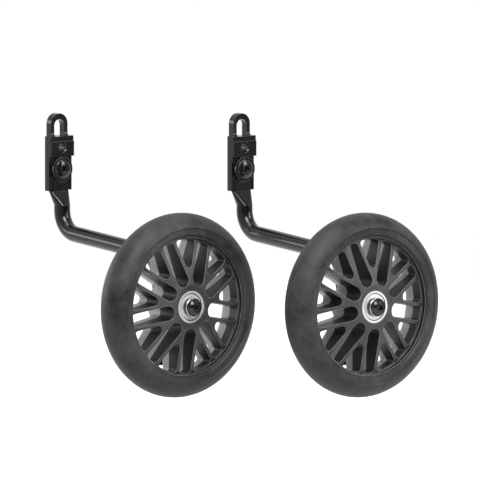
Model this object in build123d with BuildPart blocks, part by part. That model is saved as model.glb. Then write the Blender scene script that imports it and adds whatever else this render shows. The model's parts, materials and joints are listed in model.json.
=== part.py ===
from build123d import *
from math import cos, radians, sin, sqrt, tan
import os

# A pair of bicycle training wheels, in millimetres, +Z up.
# The origin is the bicycle axle's centre on the back face of the left unit's bracket.
# Each unit reaches out along -Y, from its bracket to the outer face of its wheel.

# Where the second unit of the pair stands, measured from the first
pair_shift_x = 112.4
pair_shift_y = -89.1

# Bracket: slotted tongue, block with a bolt hole, channel for the arm
axle_slot_width = 10.0
tongue_wall = 3.2
tongue_top_wall = 4.5
tongue_thickness = 6.0
tongue_height = 8.2
tongue_fillet = 2.4
block_height = 16.0
block_depth = 9.6
block_hole_diameter = 6.8
block_hole_drop = 8.8
block_hole_chamfer = 0.8
pad_drop = 4.1
pad_stand_out = 0.8
channel_height = 27.0
channel_wall = 3.2
flange_thickness = 1.9
flange_setback = 0.2
back_corner = 3.0
back_corner_limit = 0.97

# Arm: tube pressed flat at both ends and cranked twice
tube_diameter = 12.7
tube_seam = 0.02
bend_radius = 18.0
flat_width = 18.2
flat_thickness = 4.2
arm_side_clearance = 0.3
arm_end_gap = 0.6
arm_flat_tail = 0.8
press_length = 10.5
upper_leg = 20.6
run_reach = 122.9
run_fall = 9.0
lower_leg = 17.2
lower_press_length = 8.8
axle_below_press = 10.9
foot_below_slot = 9.6

# Height slot in the arm's lower flat end
slot_clearance = 0.2
height_travel = 39.0

# Bolts, nut and washer, all of one thread size
thread_diameter = 8.0
thread_clearance = 0.05
head_diameter = 14.0
head_height = 4.4
head_edge = 0.8
crown_diameter = 8.0
socket_width = 5.0
socket_depth = 2.6
bolt_collar_diameter = 19.4
bolt_collar_thickness = 3.0
clamp_head_diameter = 14.6
clamp_head_height = 2.1
bracket_bolt_setback = 0.4
bracket_bolt_drop = 10.1
nut_width = 13.0
nut_height = 6.4
nut_crown_height = 1.8
nut_crown_diameter = 11.4
insert_wall = 1.0
washer_diameter = 16.0
washer_thickness = 1.6
thread_beyond_nut = 3.0

# Ball bearings
bearing_bore = 10.0
bearing_diameter = 26.0
bearing_width = 8.0
inner_shoulder_diameter = 14.2
outer_shoulder_diameter = 22.0
ball_diameter = 4.76
ball_count = 7
race_clearance = 0.06
shield_thickness = 0.4
shield_inset = 0.5
shield_gap = 0.25
cage_thickness = 1.5
cage_back = 2.95
cage_front = 0.8

# Collars and spacer between the bearings, the bolt head and the arm
collar_diameter = 15.0
collar_edge = 0.5
front_collar_thickness = 3.2
rear_collar_thickness = 1.2
spigot_length = 7.4
spigot_clearance = 0.02
bush_clearance = 0.1
spacer_diameter = 13.0

# Rim: hub, nine Y-shaped spokes and barrel in one moulding
hub_diameter = 34.0
bearing_recess = 0.4
hub_width = 33.8
hub_shoulder = 1.8
spoke_count = 9
spoke_turn = 9.5
slot_width = 10.0
slot_start_radius = 17.9
tine_thickness = 3.8
fork_radius = 3.0
window_corner = 2.0
mould_draft = 3.0
web_front_edge = 8.4
web_back_edge = 7.8
web_back_root = 11.8
rim_lip_diameter = 108.4
rim_lip_width = 24.0
rim_lip_thickness = 1.1
barrel_web_wall = 1.5
seat_step = 2.2
seat_width = 21.0

# Tyre: smooth and solid
tread_height = 10.5
shoulder_width = 30.4
side_step = 1.0
side_band_height = 4.4
bead_slope_width = 1.4
bead_slope_height = 1.3

# Places worked out from those sizes: depths from the bracket's back face, and heights
tongue_width = axle_slot_width + 2 * tongue_wall
channel_width = flat_width + 2 * arm_side_clearance
bracket_width = channel_width + 2 * flange_thickness
back_shoulder = (bracket_width - tongue_width) / 2
block_top = -tongue_height
block_bottom = block_top - block_height
channel_bottom = block_bottom - channel_height
block_hole_height = block_top - block_hole_drop
block_front = block_depth + pad_stand_out
flat_back = channel_wall
flat_front = flat_back + flat_thickness
arm_top = block_bottom - arm_end_gap
press_top = channel_bottom - arm_flat_tail
press_bottom = press_top - press_length
tube_depth = flat_back + tube_diameter / 2
run_start = press_bottom - upper_leg
run_end = run_start - run_fall
leg_depth = tube_depth + run_reach
leg_bottom = run_end - lower_leg
leg_flat_top = leg_bottom - lower_press_length
leg_front = leg_depth + tube_diameter / 2
leg_back = leg_front - flat_thickness
axle_height = leg_flat_top - axle_below_press
foot_height = axle_height - height_travel - foot_below_slot
height_slot_width = thread_diameter + 2 * slot_clearance
bolt_height = block_bottom - bracket_bolt_drop
clamp_head_seat = flat_front + bolt_collar_thickness

# Wheel places, measured outwards from the wheel's middle plane
bearing_face = hub_width / 2 - bearing_recess
bearing_middle = bearing_face - bearing_width / 2
bearing_inner_face = bearing_face - bearing_width
wheel_depth = leg_front + rear_collar_thickness + bearing_face
head_seat = bearing_face + front_collar_thickness
washer_seat = leg_back - wheel_depth
nut_seat = washer_seat - washer_thickness
crown_start = nut_seat - nut_height
crown_end = crown_start - nut_crown_height
axle_bolt_end = crown_end - thread_beyond_nut

# Radii that several pieces share
thread_radius = thread_diameter / 2
tapped_radius = thread_radius + thread_clearance
bush_radius = thread_radius + bush_clearance
pitch_radius = (inner_shoulder_diameter + outer_shoulder_diameter) / 4
groove_radius = ball_diameter / 2 + race_clearance
shield_radius = inner_shoulder_diameter / 2 + shield_gap
barrel_radius = rim_lip_diameter / 2 - tan(radians(mould_draft)) * rim_lip_width / 2
window_radius = barrel_radius - barrel_web_wall
bead_radius = rim_lip_diameter / 2 + rim_lip_thickness
seat_radius = bead_radius + seat_step
band_radius = bead_radius + bead_slope_height
shoulder_radius = band_radius + side_band_height + side_step
tyre_radius = shoulder_radius + tread_height

# The wheel's middle plane seen from outside, and half sections through the axle and the clamp bolt
axle_point = (0, -wheel_depth, axle_height)
wheel_face = Plane(axle_point, x_dir=(1, 0, 0), z_dir=(0, -1, 0))
wheel_section = Plane(axle_point, x_dir=(0, -1, 0), z_dir=(-1, 0, 0))
axle_line = Axis(axle_point, (0, -1, 0))
bolt_point = (0, 0, bolt_height)
bolt_section = Plane(bolt_point, x_dir=(0, -1, 0), z_dir=(-1, 0, 0))
bolt_line = Axis(bolt_point, (0, -1, 0))
arm_plane = Plane((0, 0, 0), x_dir=(0, -1, 0), z_dir=(-1, 0, 0))

os.makedirs("parts", exist_ok=True)
places = {
    "left": Location((0, 0, 0)),
    "right": Location((pair_shift_x, pair_shift_y, 0)),
}


def save(piece, name):
    """Label a finished piece and write it where each unit of the pair has it."""
    for side, place in places.items():
        copy = piece.part.moved(place)
        copy.label = f"{side}_{name}"
        export_step(copy, f"parts/{side}_{name}.step")


def section_ring(inner_radius, outer_radius, start, end):
    """Half section of a ring: a rectangle from start to end along the axle."""
    with Locations((start, inner_radius)):
        Rectangle(end - start, outer_radius - inner_radius, align=Align.MIN)


# Bracket
with BuildPart() as bracket:
    with BuildSketch(Plane.XZ):
        tongue_rise = tongue_top_wall - tongue_wall
        with Locations((0, tongue_rise)):
            Circle(tongue_width / 2)
            Rectangle(tongue_width, tongue_rise - block_top, align=(Align.CENTER, Align.MAX))
    extrude(amount=tongue_thickness)
    with BuildSketch(Plane.XZ):
        with Locations((0, block_top)):
            Rectangle(bracket_width, block_height, align=(Align.CENTER, Align.MAX))
    extrude(amount=block_depth)
    tongue_root = bracket.edges().filter_by(Axis.X).filter_by_position(Axis.Z, block_top, block_top)
    fillet(tongue_root.filter_by_position(Axis.Y, -tongue_thickness, -tongue_thickness), tongue_fillet)
    with BuildSketch(Plane.XZ):
        with Locations((0, block_bottom)):
            Rectangle(bracket_width, block_height - pad_drop, align=(Align.CENTER, Align.MIN))
    extrude(amount=block_front)
    with BuildSketch(Plane.XZ):
        with Locations((0, block_bottom)):
            Rectangle(bracket_width, channel_height, align=(Align.CENTER, Align.MAX))
    extrude(amount=flat_front - flange_setback)
    with BuildSketch(Plane.XZ.offset(channel_wall)):
        with Locations((0, block_bottom)):
            Rectangle(channel_width, channel_height, align=(Align.CENTER, Align.MAX))
    extrude(amount=block_front, mode=Mode.SUBTRACT)
    uprights = bracket.edges().filter_by(Axis.Z).group_by(Axis.X)
    for side_edges in (uprights[0], uprights[-1]):
        fillet(side_edges.group_by(Axis.Y)[-1], min(back_corner, back_corner_limit * back_shoulder))
    with BuildSketch(Plane.XZ):
        Circle(axle_slot_width / 2)
        Rectangle(axle_slot_width, tongue_height, align=(Align.CENTER, Align.MAX))
    extrude(amount=block_front, mode=Mode.SUBTRACT)
    with Locations(Plane.XZ.offset(block_front)):
        with Locations((0, block_hole_height)):
            CounterSinkHole(
                block_hole_diameter / 2,
                block_hole_diameter / 2 + block_hole_chamfer,
                counter_sink_angle=90,
            )
    with BuildSketch(Plane.XZ):
        with Locations((0, bolt_height)):
            Circle(tapped_radius)
    extrude(amount=channel_wall, mode=Mode.SUBTRACT)
save(bracket, "bracket")

# Outlines of the arm: both have two straight and two round edges, so that its pressed ends taper evenly
with BuildSketch() as flat_outline:
    SlotOverall(flat_width, flat_thickness)
with BuildSketch() as tube_outline:
    SlotOverall(tube_diameter + tube_seam, tube_diameter)

# Arm
with BuildPart() as arm:
    with BuildSketch(Plane((0, -(flat_back + flat_front) / 2, press_top))):
        add(flat_outline.sketch)
    extrude(amount=arm_top - press_top)
    with BuildSketch(Plane((0, -(flat_back + flat_front) / 2, press_top))):
        add(flat_outline.sketch)
    with BuildSketch(Plane((0, -tube_depth, press_bottom))):
        add(tube_outline.sketch)
    loft()
    with BuildLine(arm_plane) as route:
        FilletPolyline(
            (tube_depth, press_bottom),
            (tube_depth, run_start),
            (leg_depth, run_end),
            (leg_depth, leg_bottom),
            radius=bend_radius,
        )
    with BuildSketch(Plane((0, -tube_depth, press_bottom))):
        add(tube_outline.sketch)
    sweep(path=route.line)
    with BuildSketch(Plane((0, -leg_depth, leg_bottom))):
        add(tube_outline.sketch)
    with BuildSketch(Plane((0, -(leg_back + leg_front) / 2, leg_flat_top))):
        add(flat_outline.sketch)
    loft()
    with BuildSketch(Plane((0, -(leg_back + leg_front) / 2, leg_flat_top))):
        add(flat_outline.sketch)
    extrude(amount=foot_height - leg_flat_top)
    with BuildSketch(Plane.XZ.offset(leg_back)):
        with Locations((0, axle_height - height_travel / 2)):
            SlotCenterToCenter(height_travel, height_slot_width, rotation=90)
    extrude(amount=flat_thickness, mode=Mode.SUBTRACT)
    with BuildSketch(Plane.XZ.offset(flat_back)):
        with Locations((0, bolt_height)):
            Circle(thread_radius + slot_clearance)
    extrude(amount=flat_thickness, mode=Mode.SUBTRACT)
save(arm, "arm")


def button_head(seat, diameter, height):
    """Half section of a domed bolt head with a short upright edge, seated at an offset."""
    edge = (seat + head_edge, diameter / 2)
    crown = (seat + height, crown_diameter / 2)
    with BuildLine() as outline:
        Polyline(crown, (seat + height, 0), (seat, 0), (seat, diameter / 2), edge)
        RadiusArc(edge, crown, diameter / 2)
    make_face(outline.edges())


# Clamp bolt
with BuildPart() as bracket_bolt:
    with BuildSketch(bolt_section):
        button_head(clamp_head_seat, clamp_head_diameter, clamp_head_height)
        section_ring(0, bolt_collar_diameter / 2, flat_front, clamp_head_seat)
        section_ring(0, thread_radius, bracket_bolt_setback, flat_front)
    revolve(axis=bolt_line)
    with BuildSketch(Plane.XZ.offset(clamp_head_seat + clamp_head_height)):
        with Locations((0, bolt_height)):
            RegularPolygon(socket_width / 2, 6, major_radius=False)
    extrude(amount=-socket_depth, mode=Mode.SUBTRACT)
save(bracket_bolt, "bracket_bolt")

# Axle bolt
with BuildPart() as axle_bolt:
    with BuildSketch(wheel_section):
        button_head(head_seat, head_diameter, head_height)
        section_ring(0, thread_radius, axle_bolt_end, head_seat)
    revolve(axis=axle_line)
    with BuildSketch(wheel_face.offset(head_seat + head_height)):
        RegularPolygon(socket_width / 2, 6, major_radius=False)
    extrude(amount=-socket_depth, mode=Mode.SUBTRACT)
save(axle_bolt, "axle_bolt")


def top_hat(flange_face, flange_thickness, direction):
    """Half section of a flanged bush whose spigot points back along the given direction."""
    flange_end = flange_face + direction * flange_thickness
    spigot_end = flange_face - direction * spigot_length
    spigot_radius = bearing_bore / 2 - spigot_clearance
    section_ring(bush_radius, collar_diameter / 2, *sorted((flange_face, flange_end)))
    section_ring(bush_radius, spigot_radius, *sorted((flange_face, spigot_end)))


# Front collar, under the head of the axle bolt
with BuildPart() as front_collar:
    with BuildSketch(wheel_section):
        top_hat(bearing_face, front_collar_thickness, 1)
    revolve(axis=axle_line)
    rims = front_collar.edges().filter_by(GeomType.CIRCLE).group_by(Axis.Y)[0]
    chamfer(rims.sort_by(SortBy.RADIUS)[-1], collar_edge)
save(front_collar, "front_collar")

# Rear collar, between the rear bearing and the arm
with BuildPart() as rear_collar:
    with BuildSketch(wheel_section):
        top_hat(-bearing_face, rear_collar_thickness, -1)
    revolve(axis=axle_line)
save(rear_collar, "rear_collar")

# Spacer tube between the inner rings of the bearings
with BuildPart() as bearing_spacer:
    with BuildSketch(wheel_section):
        section_ring(bearing_bore / 2, spacer_diameter / 2, -bearing_inner_face, bearing_inner_face)
    revolve(axis=axle_line)
save(bearing_spacer, "bearing_spacer")

# Washer behind the arm
with BuildPart() as axle_washer:
    with BuildSketch(wheel_section):
        section_ring(thread_radius + slot_clearance, washer_diameter / 2, nut_seat, washer_seat)
    revolve(axis=axle_line)
save(axle_washer, "axle_washer")

# Locking nut, with a crown that holds its insert
with BuildPart() as axle_nut:
    with BuildSketch(wheel_face.offset(nut_seat)):
        RegularPolygon(nut_width / 2, 6, major_radius=False)
    extrude(amount=-nut_height)
    with BuildSketch(wheel_section):
        section_ring(0, nut_crown_diameter / 2, crown_end, crown_start)
    revolve(axis=axle_line)
    with BuildSketch(wheel_section):
        section_ring(0, tapped_radius, crown_end, nut_seat)
        section_ring(0, tapped_radius + insert_wall, crown_end, crown_start)
    revolve(axis=axle_line, mode=Mode.SUBTRACT)
save(axle_nut, "axle_nut")

# Insert that locks the nut on the thread
with BuildPart() as locking_insert:
    with BuildSketch(wheel_section):
        section_ring(tapped_radius, tapped_radius + insert_wall, crown_end, crown_start)
    revolve(axis=axle_line)
save(locking_insert, "locking_insert")


def build_bearing(end, middle):
    """The pieces of one ball bearing, whose middle is at an offset from the wheel's middle."""
    start = middle - bearing_width / 2
    stop = middle + bearing_width / 2
    ball_plane = wheel_face.offset(middle)

    with BuildPart() as outer_ring:
        with BuildSketch(wheel_section):
            section_ring(outer_shoulder_diameter / 2, bearing_diameter / 2, start, stop)
            with Locations((middle, pitch_radius)):
                Circle(groove_radius, mode=Mode.SUBTRACT)
        revolve(axis=axle_line)
    save(outer_ring, f"{end}_bearing_outer_ring")

    with BuildPart() as inner_ring:
        with BuildSketch(wheel_section):
            section_ring(bearing_bore / 2, inner_shoulder_diameter / 2, start, stop)
            with Locations((middle, pitch_radius)):
                Circle(groove_radius, mode=Mode.SUBTRACT)
        revolve(axis=axle_line)
    save(inner_ring, f"{end}_bearing_inner_ring")

    with BuildPart() as shields:
        with BuildSketch(wheel_section):
            shield_start = stop - shield_inset - shield_thickness
            section_ring(shield_radius, outer_shoulder_diameter / 2, shield_start, stop - shield_inset)
            shield_stop = start + shield_inset + shield_thickness
            section_ring(shield_radius, outer_shoulder_diameter / 2, start + shield_inset, shield_stop)
        revolve(axis=axle_line)
    save(shields, f"{end}_bearing_shields")

    with BuildPart() as balls:
        with Locations(ball_plane):
            with PolarLocations(pitch_radius, ball_count):
                Sphere(ball_diameter / 2)
    save(balls, f"{end}_bearing_balls")

    with BuildPart() as cage:
        with BuildSketch(wheel_section):
            cage_inner = pitch_radius - cage_thickness / 2
            section_ring(cage_inner, cage_inner + cage_thickness, middle - cage_back, middle + cage_front)
        revolve(axis=axle_line)
        with Locations(ball_plane):
            with PolarLocations(pitch_radius, ball_count):
                Cylinder(groove_radius, 2 * cage_thickness, rotation=(0, 90, 0), mode=Mode.SUBTRACT)
    save(cage, f"{end}_bearing_cage")


build_bearing("front", bearing_middle)
build_bearing("rear", -bearing_middle)


# Opening between two spokes: parallel sides, rounded at the hub
with BuildSketch() as slot_window:
    slot_half = slot_width / 2
    slot_centre = slot_start_radius + slot_half
    slot_far = sqrt(window_radius**2 - slot_half**2)
    with BuildLine():
        Line((slot_far, slot_half), (slot_centre, slot_half))
        ThreePointArc((slot_centre, slot_half), (slot_start_radius, 0), (slot_centre, -slot_half))
        Line((slot_centre, -slot_half), (slot_far, -slot_half))
        ThreePointArc((slot_far, -slot_half), (window_radius, 0), (slot_far, slot_half))
    make_face()
    fillet(slot_window.vertices().group_by(Axis.X)[-1], window_corner)

# Opening inside a spoke's fork: its sides lie parallel to the slots beside it
with BuildSketch() as fork_window:
    lean = radians(180 / spoke_count)
    fork_side = slot_width / 2 + tine_thickness
    fork_apex = fork_side / sin(lean)
    fork_centre = fork_apex + fork_radius / sin(lean)
    touch_x = fork_centre - fork_radius * sin(lean)
    touch_y = fork_radius * cos(lean)
    fork_reach = sqrt(window_radius**2 - fork_side**2) - fork_apex * cos(lean)
    fork_far_x = fork_apex + fork_reach * cos(lean)
    fork_far_y = fork_reach * sin(lean)
    with BuildLine():
        Line((fork_far_x, fork_far_y), (touch_x, touch_y))
        ThreePointArc((touch_x, touch_y), (fork_centre - fork_radius, 0), (touch_x, -touch_y))
        Line((touch_x, -touch_y), (fork_far_x, -fork_far_y))
        ThreePointArc((fork_far_x, -fork_far_y), (window_radius, 0), (fork_far_x, fork_far_y))
    make_face()
    fillet(fork_window.vertices().group_by(Axis.X)[-1], window_corner)

# Rim
with BuildPart() as rim:
    with BuildSketch(wheel_section):
        with BuildLine():
            hub_radius = hub_diameter / 2
            web_radius = rim_lip_diameter / 2
            Polyline(
                (-hub_width / 2, 0),
                (-hub_width / 2, hub_radius),
                (-web_back_root, hub_radius),
                (-web_back_edge, web_radius),
                (web_front_edge, web_radius),
                (hub_width / 2, hub_radius),
                (hub_width / 2, 0),
                close=True,
            )
        make_face()
    revolve(axis=axle_line)
    with BuildSketch(wheel_face):
        with PolarLocations(0, spoke_count, start_angle=spoke_turn + 180 / spoke_count):
            add(slot_window.sketch)
        with PolarLocations(0, spoke_count, start_angle=spoke_turn):
            add(fork_window.sketch)
    extrude(amount=hub_width, taper=-mould_draft, both=True, mode=Mode.SUBTRACT)
    with BuildSketch(wheel_section):
        with BuildLine():
            lip_radius = rim_lip_diameter / 2
            Polyline(
                (-rim_lip_width / 2, lip_radius),
                (0, barrel_radius),
                (rim_lip_width / 2, lip_radius),
                (rim_lip_width / 2, bead_radius),
                (seat_width / 2, bead_radius),
                (seat_width / 2, seat_radius),
                (-seat_width / 2, seat_radius),
                (-seat_width / 2, bead_radius),
                (-rim_lip_width / 2, bead_radius),
                close=True,
            )
        make_face()
    revolve(axis=axle_line)
    with BuildSketch(wheel_section):
        section_ring(0, bearing_diameter / 2 - hub_shoulder, -hub_width, hub_width)
        section_ring(0, bearing_diameter / 2, bearing_inner_face, hub_width)
        section_ring(0, bearing_diameter / 2, -hub_width, -bearing_inner_face)
    revolve(axis=axle_line, mode=Mode.SUBTRACT)
save(rim, "rim")

# Tyre
with BuildPart() as tyre:
    with BuildSketch(wheel_section):
        with BuildLine():
            shoulder = (shoulder_width / 2, shoulder_radius)
            band_top = (shoulder[0] - side_step, shoulder_radius - side_step)
            band_foot = (band_top[0], band_radius)
            bead = (band_foot[0] - bead_slope_width, bead_radius)
            ThreePointArc((-shoulder[0], shoulder_radius), (0, tyre_radius), shoulder)
            Polyline(
                shoulder,
                band_top,
                band_foot,
                bead,
                (seat_width / 2, bead_radius),
                (seat_width / 2, seat_radius),
                (-seat_width / 2, seat_radius),
                (-seat_width / 2, bead_radius),
                (-bead[0], bead_radius),
                (-band_foot[0], band_radius),
                (-band_top[0], band_top[1]),
                (-shoulder[0], shoulder_radius),
            )
        make_face()
    revolve(axis=axle_line)
save(tyre, "tyre")
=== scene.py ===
"""Looks of a pair of bicycle training wheels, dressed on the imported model."""

import json
import math

import bpy
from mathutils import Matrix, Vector


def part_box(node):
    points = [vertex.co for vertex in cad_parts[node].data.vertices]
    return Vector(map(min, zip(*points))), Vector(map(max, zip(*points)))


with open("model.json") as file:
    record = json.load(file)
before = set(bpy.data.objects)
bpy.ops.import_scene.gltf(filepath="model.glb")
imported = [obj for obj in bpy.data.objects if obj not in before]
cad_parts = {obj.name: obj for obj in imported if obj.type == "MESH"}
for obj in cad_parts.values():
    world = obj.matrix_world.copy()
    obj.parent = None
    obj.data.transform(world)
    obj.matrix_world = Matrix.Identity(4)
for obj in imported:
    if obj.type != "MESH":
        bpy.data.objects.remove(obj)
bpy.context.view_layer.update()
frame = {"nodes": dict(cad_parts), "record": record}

# The photograph's view: its direction, its scale, and the pixel on which the left hub falls
AZIMUTH = math.radians(-38.5)
ELEVATION = math.radians(6.2)
HUB_POINT = Vector((0, -0.17305, -0.129))
HUB_PIXEL = (191.2, 307.0)
IMAGE_SIZE = 480
PIXELS_PER_METRE = 1281.0
CAMERA_DISTANCE = 16.0
SENSOR = 36.0

# Floor: the width of its plane, how far an axle can sink, its grey, and its glow to the eye
FLOOR_SIZE = 1.7
AXLE_TRAVEL = 0.039
FLOOR_GREY = 0.55
FLOOR_GLOW = 0.78

# Room: its light and its dim side in shares of white, and where along Y it turns from dim to white
ROOM_LIGHT = 0.25
ROOM_DIM = 0.22
ROOM_TURN = (-0.9, 0.3)

# Soft boxes: place and size in metres and power in watts, all turned to the middle of the pair
MIDDLE = (0.06, -0.15, -0.1)
LAMPS = {
    "key": ((-0.6, -1.05, 1.2), (0.9, 0.9), 34.0),
    "fill": ((0.9, -1.4, 0.6), (0.5, 1.2), 17.0),
    "top": ((-0.35, -0.2, 1.5), (1.2, 0.8), 12.0),
    "back": ((-0.9, 1.6, 0.3), (1.8, 0.6), 14.0),
}

# Finishes: the span of most noise values, the rays of the soft edges, and the span over which edges
# get a painted highlight
NOISE_LOW, NOISE_HIGH = 0.3, 0.7
EDGE_SAMPLES = 6
HIGHLIT_EDGE, OPEN_FACE = 0.8, 0.98
# Painted shade: the share of a turned piece's box width over which its colour darkens towards its
# rim
RIM_SHADE = (0.468, 0.494)
SHIELD_SHADE = (0.445, 0.475)


def aim_camera():
    """Camera far away with a long lens, so that the left hub falls on its pixel."""
    back = Vector((
        math.sin(AZIMUTH) * math.cos(ELEVATION),
        -math.cos(AZIMUTH) * math.cos(ELEVATION),
        math.sin(ELEVATION),
    ))
    right = Vector((math.cos(AZIMUTH), math.sin(AZIMUTH), 0))
    up = back.cross(right)
    middle = IMAGE_SIZE / 2
    target = HUB_POINT + right * (middle - HUB_PIXEL[0]) / PIXELS_PER_METRE
    target += up * (HUB_PIXEL[1] - middle) / PIXELS_PER_METRE
    data = bpy.data.cameras.new("camera")
    data.sensor_width = SENSOR
    data.lens = SENSOR * CAMERA_DISTANCE * PIXELS_PER_METRE / IMAGE_SIZE
    data.clip_end = 2 * CAMERA_DISTANCE
    camera = bpy.data.objects.new("camera", data)
    camera.location = target + back * CAMERA_DISTANCE
    camera.rotation_euler = (-back).to_track_quat("-Z", "Y").to_euler()
    bpy.context.scene.collection.objects.link(camera)
    bpy.context.scene.camera = camera


class Nodes:
    """A node tree, with short calls for the nodes that the materials and the world share."""

    def __init__(self, tree):
        self.tree = tree

    def put(self, socket, value):
        if isinstance(value, bpy.types.NodeSocket):
            self.tree.links.new(value, socket)
        else:
            socket.default_value = value

    def node(self, kind, **inputs):
        made = self.tree.nodes.new(kind)
        for socket, value in inputs.items():
            self.put(made.inputs[socket.replace("_", " ")], value)
        return made

    def place(self, kind="Object"):
        return self.node("ShaderNodeTexCoord").outputs[kind]

    def part_of(self, vector, axis):
        return self.node("ShaderNodeSeparateXYZ", Vector=vector).outputs[axis]

    def math(self, operation, first, second=0.0):
        made = self.node("ShaderNodeMath")
        made.operation = operation
        self.put(made.inputs[0], first)
        self.put(made.inputs[1], second)
        return made.outputs[0]

    def spread(self, value, low, high, start=NOISE_LOW, stop=NOISE_HIGH):
        """A number between low and high as value goes from start to stop."""
        made = self.node(
            "ShaderNodeMapRange",
            Value=value, From_Min=start, From_Max=stop, To_Min=low, To_Max=high,
        )
        return made.outputs[0]


class Paint(Nodes):
    """A material, with the calls that only a surface needs."""

    def __init__(self, name):
        self.material = bpy.data.materials.new(name)
        self.material.use_nodes = True
        super().__init__(self.material.node_tree)
        self.bsdf = self.tree.nodes["Principled BSDF"]

    def set(self, **inputs):
        for socket, value in inputs.items():
            self.put(self.bsdf.inputs[socket.replace("_", " ")], value)

    def noise(self, scale, detail=4.0, roughness=0.55):
        made = self.node(
            "ShaderNodeTexNoise",
            Vector=self.place(), Scale=scale, Detail=detail, Roughness=roughness,
        )
        return made.outputs["Fac"]

    def tint(self, value, dark, light, start=0.0, stop=1.0):
        """A colour between dark and light as value goes from start to stop."""
        made = self.node("ShaderNodeValToRGB", Fac=value)
        first, last = made.color_ramp.elements
        first.position, first.color = start, (*dark, 1)
        last.position, last.color = stop, (*light, 1)
        return made.outputs[0]

    def soft_edges(self, radius):
        """The surface's direction, as if its edges were rounded to a small radius."""
        made = self.node("ShaderNodeBevel", Radius=radius)
        made.samples = EDGE_SAMPLES
        return made.outputs["Normal"]

    def edge_highlight(self, soft):
        """A number that is 0 on open surfaces and rises to 1 along the edges, where the finishes
        paint highlights.
        """
        made = self.node("ShaderNodeVectorMath")
        made.operation = "DOT_PRODUCT"
        self.put(made.inputs[0], soft)
        self.put(made.inputs[1], self.node("ShaderNodeNewGeometry").outputs["Normal"])
        return self.spread(made.outputs["Value"], 1.0, 0.0, HIGHLIT_EDGE, OPEN_FACE)

    def open_air(self, distance):
        """A number that is 1 on open surfaces and falls towards 0 in holes and corners."""
        return self.node("ShaderNodeAmbientOcclusion", Distance=distance).outputs["AO"]

    def bump(self, height, strength, distance, soft):
        made = self.node(
            "ShaderNodeBump", Height=height, Strength=strength, Distance=distance, Normal=soft
        )
        self.set(Normal=made.outputs[0])

    def radius(self):
        """Distance from the axle of a turned piece, as a share of its box's width."""
        squares = []
        for axis in ("X", "Z"):
            side = self.math("SUBTRACT", self.part_of(self.place("Generated"), axis), 0.5)
            squares.append(self.math("MULTIPLY", side, side))
        return self.math("SQRT", self.math("ADD", *squares))

    def turned_rings(self, radius, scale):
        """Fine rings round the axle of a turned piece."""
        made = self.node("ShaderNodeTexNoise", Scale=scale, Detail=3.0)
        made.noise_dimensions = "1D"
        self.put(made.inputs["W"], radius)
        return made.outputs["Fac"]


def frame_paint():
    """Gloss black paint: orange peel, painted highlights along the edges, and dust that dulls the
    corners.
    """
    paint = Paint("frame_paint")
    black, paint_highlight = (0.003, 0.0029, 0.0028), (0.05, 0.05, 0.05)
    gloss = paint.spread(paint.noise(scale=35.0), 0.12, 0.2)
    dust = paint.spread(paint.open_air(0.006), 0.6, 0.0, 0.35, 0.8)
    peel = paint.noise(scale=300.0, detail=2.0)
    soft = paint.soft_edges(0.0003)
    # The base colour is black, with a painted highlight along the edges.
    paint.set(
        Base_Color=paint.tint(paint.edge_highlight(soft), black, paint_highlight),
        Roughness=paint.math("ADD", gloss, dust),
        Specular_IOR_Level=0.36,
    )
    paint.bump(peel, strength=0.01, distance=0.0002, soft=soft)
    return paint.material


def black_bolt():
    """Blackened bolt: turned rings, and painted highlights along its edges."""
    paint = Paint("black_bolt")
    black, bolt_highlight = (0.004, 0.0042, 0.0043), (0.16, 0.16, 0.16)
    rings = paint.turned_rings(paint.radius(), scale=45.0)
    soft = paint.soft_edges(0.0005)
    # The base colour is black, with a painted highlight along the edges.
    paint.set(
        Base_Color=paint.tint(paint.edge_highlight(soft), black, bolt_highlight),
        Roughness=paint.spread(rings, 0.07, 0.13),
        Specular_IOR_Level=0.4,
    )
    paint.bump(rings, strength=0.03, distance=0.0001, soft=soft)
    return paint.material


def steel(name, light, smooth, rough, scale, shade_span=RIM_SHADE):
    """Turned or plated steel: rings in its colour, gloss and surface, and painted shade round its
    rim.
    """
    paint = Paint(name)
    groove_shade = (0.05, 0.05, 0.05)
    radius = paint.radius()
    rings = paint.turned_rings(radius, scale)
    soft = paint.soft_edges(0.0003)
    polish = paint.spread(rings, 0.7, 1.0)
    # Painted shade: the colour darkens towards the rim, where the piece meets a groove or recess.
    rings_and_shade = paint.math("MULTIPLY", polish, paint.spread(radius, 1.0, 0.0, *shade_span))
    paint.set(
        Base_Color=paint.tint(rings_and_shade, groove_shade, light),
        Roughness=paint.spread(rings, smooth, rough),
        Metallic=0.5,
    )
    paint.bump(rings, strength=0.03, distance=0.0001, soft=soft)
    return paint.material


def insert_nylon():
    """Clouded off-white nylon."""
    paint = Paint("insert_nylon")
    dark, light = (0.62, 0.6, 0.54), (0.72, 0.7, 0.64)
    cloud = paint.noise(scale=400.0)
    soft = paint.soft_edges(0.0002)
    paint.set(
        Base_Color=paint.tint(cloud, dark, light, NOISE_LOW, NOISE_HIGH),
        Roughness=paint.spread(cloud, 0.4, 0.55),
    )
    paint.bump(cloud, strength=0.05, distance=0.0001, soft=soft)
    return paint.material


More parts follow.
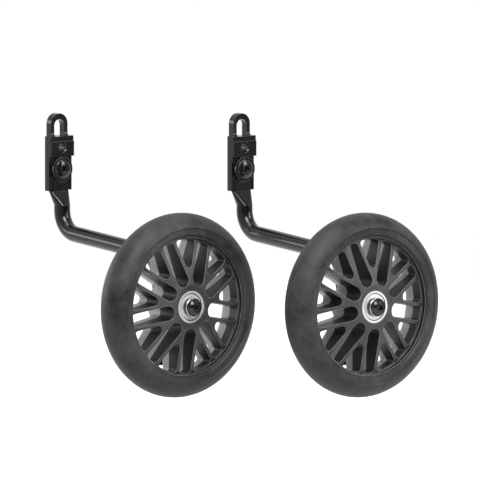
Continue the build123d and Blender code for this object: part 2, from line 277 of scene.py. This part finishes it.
def rim_plastic():
    """Black moulded plastic: faces painted lighter as if lit, with cloudy scuffs; dark walls whose
    back halves carry a painted reflection of the bright backdrop; painted highlights along the
    edges.
    """
    paint = Paint("rim_plastic")
    # The pale end of the colour ramp is painted light: backdrop reflection, edge highlights and lit
    # faces.
    black, painted_light = (0.011, 0.0102, 0.0099), (0.5, 0.49, 0.485)
    cloud = paint.noise(scale=60.0)
    grain = paint.noise(scale=900.0, detail=2.0)
    soft = paint.soft_edges(0.0008)
    depth = paint.part_of(paint.place("Generated"), "Y")
    facing = paint.math("ABSOLUTE", paint.part_of(paint.place("Normal"), "Y"))
    faces = paint.spread(facing, 0.0, 1.0, 0.3, 0.6)
    walls = paint.math("SUBTRACT", 1.0, faces)
    # Painted reflection: the back halves of the walls are pale, as if catching the bright backdrop
    # behind.
    back_wall_reflection = paint.math("MULTIPLY", walls, paint.spread(depth, 0.0, 1.0, 0.495, 0.505))
    # Painted highlights along the edges.
    lit_edges = paint.math("MULTIPLY", paint.edge_highlight(soft), 0.55)
    # The painted light on the faces weakens towards the rim.
    fades_to_rim = paint.spread(paint.radius(), 1.0, 0.4, 0.41, 0.46)
    # Painted light: faces lighter than the walls, as if lit from the front, with cloudy scuffs in
    # it.
    lit_scuffed_faces = paint.math("MULTIPLY", faces, paint.spread(cloud, 0.035, 0.09))
    lit_scuffed_faces = paint.math("MULTIPLY", lit_scuffed_faces, fades_to_rim)
    tone = paint.math("MAXIMUM", paint.math("MAXIMUM", back_wall_reflection, lit_edges), lit_scuffed_faces)
    paint.set(
        Base_Color=paint.tint(tone, black, painted_light),
        Roughness=paint.spread(cloud, 0.34, 0.46),
        Specular_IOR_Level=0.25,
    )
    paint.bump(grain, strength=0.06, distance=0.0002, soft=soft)
    return paint.material


def tyre_rubber():
    """Smudged and dusty black rubber with a fine grain."""
    paint = Paint("tyre_rubber")
    black, dusty = (0.006, 0.0055, 0.0055), (0.055, 0.0515, 0.0508)
    cloud = paint.noise(scale=33.0, detail=6.0, roughness=0.6)
    dust = paint.noise(scale=220.0, detail=4.0, roughness=0.7)
    grain = paint.noise(scale=1100.0, detail=3.0)
    soft = paint.soft_edges(0.0004)
    cloud_share, dust_share = 0.7, 0.3
    smudge = paint.math(
        "ADD", paint.math("MULTIPLY", cloud, cloud_share), paint.math("MULTIPLY", dust, dust_share)
    )
    paint.set(
        Base_Color=paint.tint(smudge, black, dusty, 0.38, 0.68),
        Roughness=paint.spread(smudge, 0.4, 0.66, 0.36, 0.64),
        Specular_IOR_Level=0.25,
    )
    paint.bump(grain, strength=0.12, distance=0.0003, soft=soft)
    return paint.material


def dress_nodes():
    """Each CAD node gets the finish of its material slot; bearing shields have one of their own."""
    finishes = {
        "frame_paint": frame_paint(),
        "black_bolt": black_bolt(),
        "bright_steel": steel("bright_steel", (0.84, 0.845, 0.85), 0.14, 0.24, 40.0),
        "bearing_steel": steel("bearing_steel", (0.94, 0.945, 0.95), 0.22, 0.34, 50.0),
        "shield_steel": steel("shield_steel", (0.92, 0.925, 0.93), 0.22, 0.34, 34.0, SHIELD_SHADE),
        "cage_steel": steel("cage_steel", (0.5, 0.48, 0.44), 0.3, 0.42, 20.0),
        "plain_steel": steel("plain_steel", (0.6, 0.61, 0.62), 0.24, 0.36, 24.0),
        "insert_nylon": insert_nylon(),
        "rim_plastic": rim_plastic(),
        "tyre_rubber": tyre_rubber(),
    }
    for row in frame["record"]["subparts"]:
        name = row["node"]
        finish = "shield_steel" if name.endswith("_shields") else row["material_slot"]
        piece = frame["nodes"][name]
        piece.data.materials.clear()
        piece.data.materials.append(finishes[finish])


def pale_floor():
    """Pale floor under a lowered wheel: white to the eye, with a faint shadow."""
    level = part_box("left_tyre")[0].z - AXLE_TRAVEL
    bpy.ops.mesh.primitive_plane_add(size=FLOOR_SIZE, location=(MIDDLE[0], MIDDLE[1], level))
    floor = bpy.context.object
    floor.name = "floor"
    paint = Paint("floor")
    ray = paint.node("ShaderNodeLightPath").outputs
    seen = paint.math("MAXIMUM", ray["Is Camera Ray"], ray["Is Transmission Ray"])
    seen = paint.math("MAXIMUM", seen, ray["Is Glossy Ray"])
    paint.set(
        Base_Color=(FLOOR_GREY, FLOOR_GREY, FLOOR_GREY, 1),
        Roughness=0.9,
        Specular_IOR_Level=0.0,
        Emission_Color=(1, 1, 1, 1),
        Emission_Strength=paint.math("MULTIPLY", seen, FLOOR_GLOW),
    )
    floor.data.materials.append(paint.material)


def white_world():
    """White to the eye; in gloss, white behind the part and a dimmer room on the camera's side."""
    world = bpy.data.worlds.new("world")
    bpy.context.scene.world = world
    world.use_nodes = True
    sky = Nodes(world.node_tree)
    ray = sky.node("ShaderNodeLightPath").outputs
    room = sky.spread(sky.part_of(sky.place("Generated"), "Y"), ROOM_DIM, 1.0, *ROOM_TURN)
    strength = sky.spread(ray["Is Glossy Ray"], ROOM_LIGHT, room, 0.0, 1.0)
    for seen in ("Is Camera Ray", "Is Transmission Ray"):
        strength = sky.spread(ray[seen], strength, 1.0, 0.0, 1.0)
    background = sky.tree.nodes["Background"]
    sky.put(background.inputs["Color"], (1, 1, 1, 1))
    sky.put(background.inputs["Strength"], strength)


def softbox(name, place, size, power):
    data = bpy.data.lights.new(name, "AREA")
    data.shape = "RECTANGLE"
    data.size, data.size_y = size
    data.energy = power
    lamp = bpy.data.objects.new(name, data)
    lamp.location = place
    lamp.rotation_euler = (Vector(MIDDLE) - Vector(place)).to_track_quat("-Z", "Y").to_euler()
    bpy.context.scene.collection.objects.link(lamp)


dress_nodes()
aim_camera()
pale_floor()
white_world()
for lamp_name, lamp_row in LAMPS.items():
    softbox(lamp_name, *lamp_row)
bpy.context.scene.view_settings.view_transform = "Standard"
